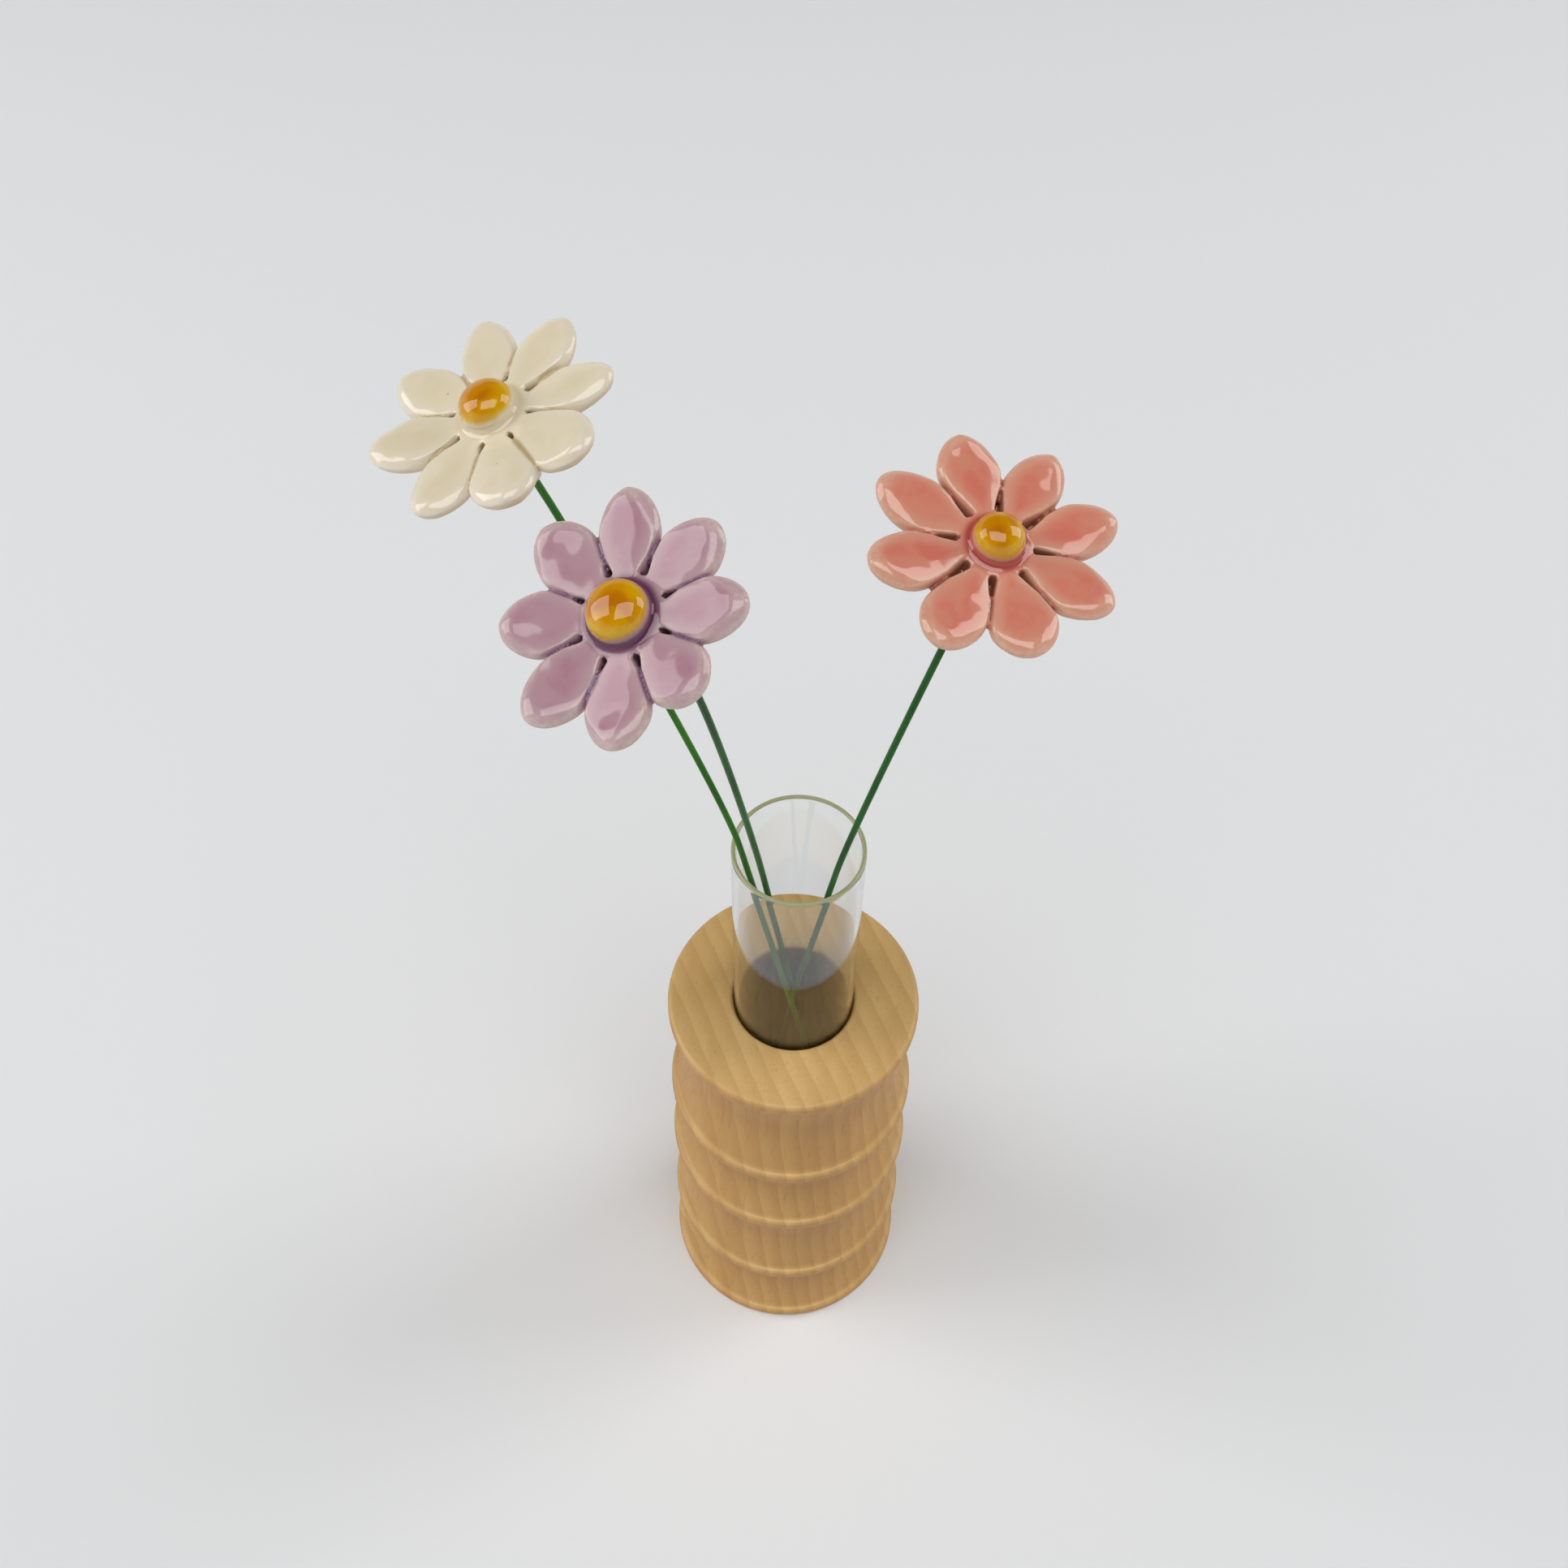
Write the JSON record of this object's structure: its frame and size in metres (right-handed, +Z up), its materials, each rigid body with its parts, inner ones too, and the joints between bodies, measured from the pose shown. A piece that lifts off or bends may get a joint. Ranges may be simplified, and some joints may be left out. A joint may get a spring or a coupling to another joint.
{
  "type": "ceramic daisies in a glass tube on a wooden stand",
  "caption": "Tabletop ornament: glazed ceramic daisies on coated wire stems that lift out of a glass tube, which stands loose in a ribbed turned wood stand.",
  "frame": {"origin": "centre of the stand's base, on the surface it stands on", "axes": "+Z up along the stand and the tube, -Y towards the viewer, +X to the viewer's right"},
  "size_m": [0.1009, 0.0764, 0.2738],
  "materials": {
    "wood": "satin, straight grain",
    "tube_glass": "clear, fire polished",
    "white_glaze": "glossy cream glaze",
    "lilac_glaze": "glossy lilac glaze, darker where it pools",
    "coral_glaze": "glossy coral glaze, darker where it pools",
    "amber_glaze": "glossy amber glaze",
    "bare_clay": "unglazed fired clay",
    "glue": "set clear glue",
    "leaf_green_coat": "smooth plastic coat",
    "dark_green_coat": "smooth plastic coat",
    "wire": "bare steel wire"
  },
  "bodies": {
    "stand": {"stand": "wood"},
    "tube": {"tube": "tube_glass"},
    "white_daisy": {"white_petals": "white_glaze", "white_centre": "amber_glaze", "white_socket": "bare_clay", "white_glue": "glue", "white_coat": "leaf_green_coat", "white_core": "wire"},
    "lilac_daisy": {"lilac_petals": "lilac_glaze", "lilac_centre": "amber_glaze", "lilac_socket": "bare_clay", "lilac_glue": "glue", "lilac_coat": "dark_green_coat", "lilac_core": "wire"},
    "coral_daisy": {"coral_petals": "coral_glaze", "coral_centre": "amber_glaze", "coral_socket": "bare_clay", "coral_glue": "glue", "coral_coat": "dark_green_coat", "coral_core": "wire"}
  },
  "joints": [
    {"name": "tube_lift", "type": "slide", "parent": "stand", "child": "tube", "axis": [0, 0, 1], "range_m": [0, 0.05]},
    {"name": "white_lift", "type": "slide", "parent": "tube", "child": "white_daisy", "axis": [-0.188, 0.0133, 0.9821], "range_m": [0, 0.098]},
    {"name": "lilac_lift", "type": "slide", "parent": "tube", "child": "lilac_daisy", "axis": [-0.1093, -0.176, 0.9783], "range_m": [0, 0.099]},
    {"name": "coral_lift", "type": "slide", "parent": "tube", "child": "coral_daisy", "axis": [0.1165, -0.1366, 0.9837], "range_m": [0, 0.101]}
  ]
}
